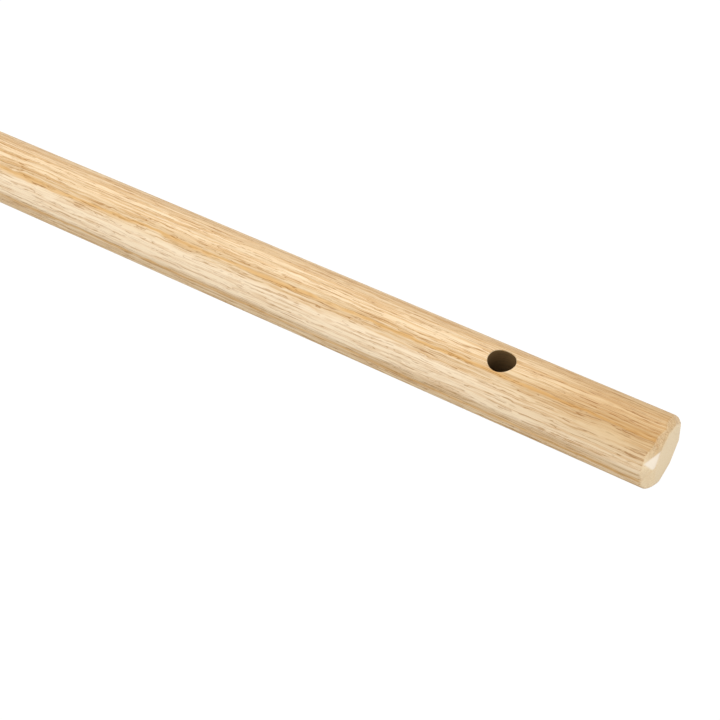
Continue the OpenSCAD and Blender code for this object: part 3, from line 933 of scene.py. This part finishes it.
# %% The bar's hammer marks
seeded = add(tree, "VectorMath", {0: (1.0, 1.0, 1.0), "Scale": given["Seed"]}, operation="SCALE")
anvil = add(tree, "VectorMath", {0: add(tree, "GeometryNodeInputPosition"), 1: seeded}, operation="ADD")
density = add(tree, "Math", {0: 1.0, 1: given["Hammer size"]}, operation="DIVIDE")
marks = add(tree, "TexVoronoi", {"Vector": anvil, "Scale": density, "Smoothness": 0.6},
            feature="SMOOTH_F1").outputs["Distance"]
dent = add(tree, "Math", {0: 1.0, 1: marks}, operation="SUBTRACT")
inwards = add(tree, "Math", {0: given["Hammer depth"], 1: -1.0}, operation="MULTIPLY")
dent = add(tree, "Math", {0: dent, 1: inwards}, operation="MULTIPLY")
push = add(tree, "VectorMath", {0: add(tree, "GeometryNodeInputNormal"), "Scale": dent},
           operation="SCALE")
tube = add(tree, "GeometryNodeSetPosition", {"Geometry": tube, "Offset": push})
real = add(tree, "GeometryNodeRealizeInstances", {0: tube})
last = add(tree, "GeometryNodeSetMaterial", {"Geometry": real, "Material": given["Finish"]})
join(tree, last, out.inputs[0])
print("forged_bar:", len(tree.nodes), "nodes")

# %% The neck
line_mesh = bpy.data.meshes.new("neck_path")
line_mesh.from_pydata([in_world(*p[0]) for p in path], [(k, k + 1) for k in range(len(path) - 1)], [])
for title, column, unit in (("half_width", 1, MM), ("half_thickness", 2, MM), ("squareness", 3, 1.0)):
    values = line_mesh.attributes.new(title, "FLOAT", "POINT")
    values.data.foreach_set("value", [p[column] * unit for p in path])
neck = grown("forged_swan_neck", neck_tree, {
    "Sides": 64, "Across": across, "Hammer depth": 0.22 * MM, "Hammer size": 7 * MM, "Seed": 3,
    "Finish": forged}, line_mesh)
neck.data.shade_smooth()
neck.data.set_sharp_from_angle(angle=math.radians(50))
stands_for(neck, "forged_steel", "neck")

# %% [markdown]
# ## Ground steel for the blade
#
# The blade is cut from rolled carbon steel sheet and ground. The belt leaves fine scratches down the
# blade, and a second pass along the edge leaves a brighter bevel whose scratches cross the first. Under
# its clear lacquer the steel has faint cloudy patches.

# %% The blade's finish
BLADE_TOP, EDGE_U, BEVEL_W, LAND = -27.0, 85.0, 9.0, 0.4
BREAK = 0.15  # the corner between face and bevel is this soft
ground, tree, shader, place = finish_tree("ground_carbon_steel")
lean = Matrix((Vector((0, -1, 0)), down, outward)).transposed().to_euler()
on_face = add(tree, "Mapping", {"Vector": place, "Location": on_blade(0, 0, 0), "Rotation": lean},
              vector_type="TEXTURE")
u_at = add(tree, "SeparateXYZ", {0: on_face}).outputs["Y"]
belt = stretched(tree, on_face, (0.35, 40, 5), Detail=3.0, Roughness=0.6)
cross = stretched(tree, on_face, (30, 0.3, 5), Detail=3.0, Roughness=0.6)
cloud = stretched(tree, on_face, (22, 30, 22), Detail=4.0, Roughness=0.6)
out_way = (from_hoe.to_3x3() @ outward).normalized()
is_front = add(tree, "VectorMath", {0: add(tree, "TexCoord").outputs["Normal"], 1: out_way},
               operation="DOT_PRODUCT")
is_front = add(tree, "Math", {0: is_front, 1: 0.0}, operation="GREATER_THAN")
on_bevel = add(tree, "MapRange", {0: u_at, 1: EDGE_U - BEVEL_W - BREAK, 2: EDGE_U - BEVEL_W + BREAK},
               **SMOOTH)
on_bevel = add(tree, "Math", {0: on_bevel, 1: is_front}, operation="MULTIPLY")
other_way = add(tree, "Math", {0: cross, 1: belt}, operation="SUBTRACT")
scratch = add(tree, "Math", {0: on_bevel, 1: other_way, 2: belt}, operation="MULTIPLY_ADD")
tone = laid_over(tree, linear("#8C8E90"), "#A1A3A4", cloud, 0.35, 0.65)
tone = laid_over(tree, tone, "#6F7173", scratch, 0.35, 0.65, 0.35)
tone = add(tree, "Mix", {0: on_bevel, 6: tone, 7: linear("#C2C4C5")}, **OVER)
join(tree, tone, shader.inputs["Base Color"])
shader.inputs["Metallic"].default_value = 1.0
rough = add(tree, "MapRange", {0: cloud, 1: 0.3, 2: 0.7, 3: 0.4, 4: 0.3}, **SMOOTH)
rough = add(tree, "Math", {0: on_bevel, 1: -0.08, 2: rough}, operation="MULTIPLY_ADD")
join(tree, rough, shader.inputs["Roughness"])
bumped(tree, shader, scratch, 0.02)
print(ground.name, "has", len(tree.nodes), "nodes")

# %% [markdown]
# ## The blade
#
# The outline is a polygon with rounded corners. Rows of points run across it from the top to the edge,
# once on the front face and once on the back, and a rim of narrow rows joins the two and rounds the
# corner between face and rim. Both faces follow the bow. Near the edge the front face dips to the bevel.

# %% Corners of the blade
CORNERS = [((25.2, BLADE_TOP), 30.0), ((56.0, 7.0), 40.0), ((80.0, EDGE_U), 3.0)]


def rounded_side():
    """The right side of the outline, from the middle of the top to the middle of the edge."""
    line = [(0.0, BLADE_TOP)] + [c for c, _ in CORNERS] + [(0.0, EDGE_U)]
    side = [Vector(line[0])]
    for k, (corner, radius) in enumerate(CORNERS, 1):
        corner = Vector(corner)
        before = (Vector(line[k - 1]) - corner).normalized()
        after = (Vector(line[k + 1]) - corner).normalized()
        half_turn = before.angle(after) / 2
        reach = radius / math.tan(half_turn)
        hub = corner + (before + after).normalized() * radius / math.sin(half_turn)
        first, final = corner + before * reach - hub, corner + after * reach - hub
        sweep = math.atan2(first.x * final.y - first.y * final.x, first.dot(final))
        steps = 14
        for n in range(steps + 1):
            a = sweep * n / steps
            side.append(hub + Vector((first.x * math.cos(a) - first.y * math.sin(a),
                                      first.x * math.sin(a) + first.y * math.cos(a))))
    side.append(Vector(line[-1]))
    return side


side = rounded_side()
print("blade outline, mm:", round(2 * max(p.x for p in side), 1), "wide")

# %% The blade's width and faces


def width_at(u, inset):
    """Half the blade's width at u, less an inset."""
    u = min(max(u, BLADE_TOP + 0.001), EDGE_U - 0.001)
    for p, q in zip(side, side[1:]):
        if p.y <= u <= q.y and q.y > p.y:
            return p.x + (q.x - p.x) * (u - p.y) / (q.y - p.y) - inset
    return 0.0


def front(u):
    """The front face's v at u, with the bevel ground into it."""
    ground_off = max(0.0, (u - (EDGE_U - BEVEL_W)) / BEVEL_W) * (BLADE_T - LAND)
    return bow(u) - ground_off


def rear(u):
    """The back face's v at u."""
    return math.sqrt(BOW_R ** 2 - u * u) - (BOW_R + BLADE_T)


def thickness(u):
    """The blade's thickness at u."""
    return front(u) - rear(u)


print("thick", round(thickness(0), 2), "mm, and", round(thickness(EDGE_U), 2), "at the edge")

# %% Sheets of points
COLUMNS = 40
break_u = EDGE_U - BEVEL_W
rows = [BLADE_TOP, -26, -25, -24, -22, -20, -17.5] + [-15 + 3 * k for k in range(30)]
rows += [break_u - BREAK, break_u, break_u + BREAK, 78, 80, 81.5, 82.3, 83, 83.7, 84.2, EDGE_U]
points, faces = [], []


def sheet(inset, face_v, shift):
    """Rows of points over the outline, drawn in by inset and shifted along v, less where it is thin."""
    grid = []
    for u in rows:
        u = min(max(u, BLADE_TOP + inset), EDGE_U - inset)
        half = width_at(u, inset)
        v = face_v(u) + shift * min(1.0, thickness(u))
        row = []
        for k in range(COLUMNS + 1):
            points.append(on_blade(half * (2 * k / COLUMNS - 1), u, v))
            row.append(len(points) - 1)
        grid.append(row)
    return grid


def boundary(grid):
    """The points round the outside of a sheet, in order."""
    loop = grid[0][:-1] + [row[-1] for row in grid[:-1]]
    return loop + grid[-1][:0:-1] + [row[0] for row in grid[:0:-1]]


print(len(rows), "rows of", COLUMNS + 1, "points")

# %% The blade
SOFT = 0.35  # the rim's corners are rounded by this much
front_sheet = sheet(SOFT, front, 0.0)
back_sheet = sheet(SOFT, rear, 0.0)
for a, b in zip(front_sheet, front_sheet[1:]):
    for k in range(COLUMNS):
        faces.append((a[k], b[k], b[k + 1], a[k + 1]))
for a, b in zip(back_sheet, back_sheet[1:]):
    for k in range(COLUMNS):
        faces.append((a[k], a[k + 1], b[k + 1], b[k]))
loops = [boundary(front_sheet)]
for inset, face_v, shift in ((0.1, front, -0.1), (0.0, front, -0.3), (0.0, rear, 0.3), (0.1, rear, 0.1)):
    loops.append(boundary(sheet(inset, face_v, shift)))
loops.append(boundary(back_sheet))
for a, b in zip(loops, loops[1:]):
    for k in range(len(a)):
        n = (k + 1) % len(a)
        faces.append((a[k], a[n], b[n], b[k]))
blade = mesh_piece("hoe_blade", points, faces, 40)
blade.data.materials.append(ground)
stands_for(blade, "blade_steel", "blade")

# %% [markdown]
# ## Floor and air
#
# The hoe lies on a white table that runs out of sight. Two things are asked of it: the eye should see an
# even white, and the hoe should get only a soft glow from below. So the camera's own rays meet a surface
# that mostly glows, while light that bounces to the hoe meets plain matt paper. The air around does the
# same.

# %% The floor
white = bpy.data.materials.new("white_floor")
white.use_nodes = True
tree = white.node_tree
tree.nodes.clear()
seen = add(tree, "LightPath").outputs["Is Camera Ray"]
share = add(tree, "Math", {0: seen, 1: 0.93}, operation="MULTIPLY")
paper = add(tree, "BsdfDiffuse", {"Color": (0.6, 0.6, 0.6, 1)})
glow = add(tree, "Emission", {"Color": (1, 1, 1, 1), "Strength": 1.06})
add(tree, "OutputMaterial", {"Surface": add(tree, "MixShader", {0: share, 1: paper, 2: glow})})
FLOOR = 30.0
corners = [(x * FLOOR, y * FLOOR, 0) for x, y in ((-1, -1), (1, -1), (1, 1), (-1, 1))]
floor_mesh = bpy.data.meshes.new("floor")
floor_mesh.from_pydata(corners, [], [(0, 1, 2, 3)])
floor_mesh.materials.append(white)
shown("floor", floor_mesh)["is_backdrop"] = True
print("floor", 2 * FLOOR, "m across")

# %% The air
world = bpy.data.worlds.new("soft_white")
bpy.context.scene.world = world
world.use_nodes = True
tree = world.node_tree
tree.nodes.clear()
seen = add(tree, "LightPath").outputs["Is Camera Ray"]
level = add(tree, "MapRange", {0: seen, 3: 0.46, 4: 1.05})
sky = add(tree, "Background", {"Color": (1, 1, 1, 1), "Strength": level})
add(tree, "OutputWorld", {"Surface": sky})
print("air:", world.name)

# %% [markdown]
# ## Light
#
# Three softboxes light the hoe, as in a small studio. One stands in front and one behind, both wide and
# high, so that the top of the handle is bright and its near side falls off gently. A weaker one lights
# the end of the handle.

# %% Softboxes


def softbox(name, at, aim, size, power):
    """A rectangular area light that faces a point."""
    light = bpy.data.lights.new(name, "AREA")
    light.shape = "RECTANGLE"
    light.size, light.size_y = size
    light.energy = power
    lamp = shown(name, light)
    lamp.location = at
    lamp.rotation_euler = (Vector(aim) - Vector(at)).to_track_quat("-Z", "Y").to_euler()
    print(name, power, "W")


softbox("front_softbox", (0.3, -1.1, 1.4), (0.3, 0, 0.05), (2.6, 1.0), 22)
softbox("end_softbox", (2.4, 0.2, 0.7), (0.7, 0, 0.02), (1.2, 1.2), 8.5)
softbox("back_softbox", (0.1, 1.3, 1.3), (0.1, 0, 0.05), (2.6, 1.2), 22)

# %% [markdown]
# ## Camera
#
# The camera stands close over the butt, on the user's right, and looks down along the handle, so the
# handle runs out of the picture. Its place was found from the handle itself: with a given lens, a
# straight bar of known width, with a hole and an end at known places, can be seen this way from one place
# only. The lens is a choice: a longer one from further off, or a shorter one from nearer, gives almost
# the same view.

# %% The camera
CAMERA_AT = (0.90531, -0.28572, 0.41800)
AZIMUTH, ELEVATION, ROLL = (math.radians(v) for v in (42.834, 46.838, -13.603))
camera_data = bpy.data.cameras.new("camera")
camera_data.lens = 72.5
camera_data.sensor_width = 36
camera_data.clip_start = 0.01
camera = shown("camera", camera_data)
back = Vector((math.sin(AZIMUTH) * math.cos(ELEVATION), -math.cos(AZIMUTH) * math.cos(ELEVATION),
               math.sin(ELEVATION)))
aim = (-back).to_track_quat("-Z", "Y").to_matrix().to_4x4()
camera.matrix_world = Matrix.Translation(CAMERA_AT) @ aim @ Matrix.Rotation(ROLL, 4, "Z")
bpy.context.scene.camera = camera
bpy.context.scene.view_settings.view_transform = "Standard"
print("camera", round((camera.location - butt).length, 3), "m from the butt")

# %% [markdown]
# ## Sizes
#
# The last step measures the model and prints the size of its box.

# %% Finish
low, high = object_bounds()
print("visual box in mm:", [round(1000 * (h - l), 1) for l, h in zip(low, high)])
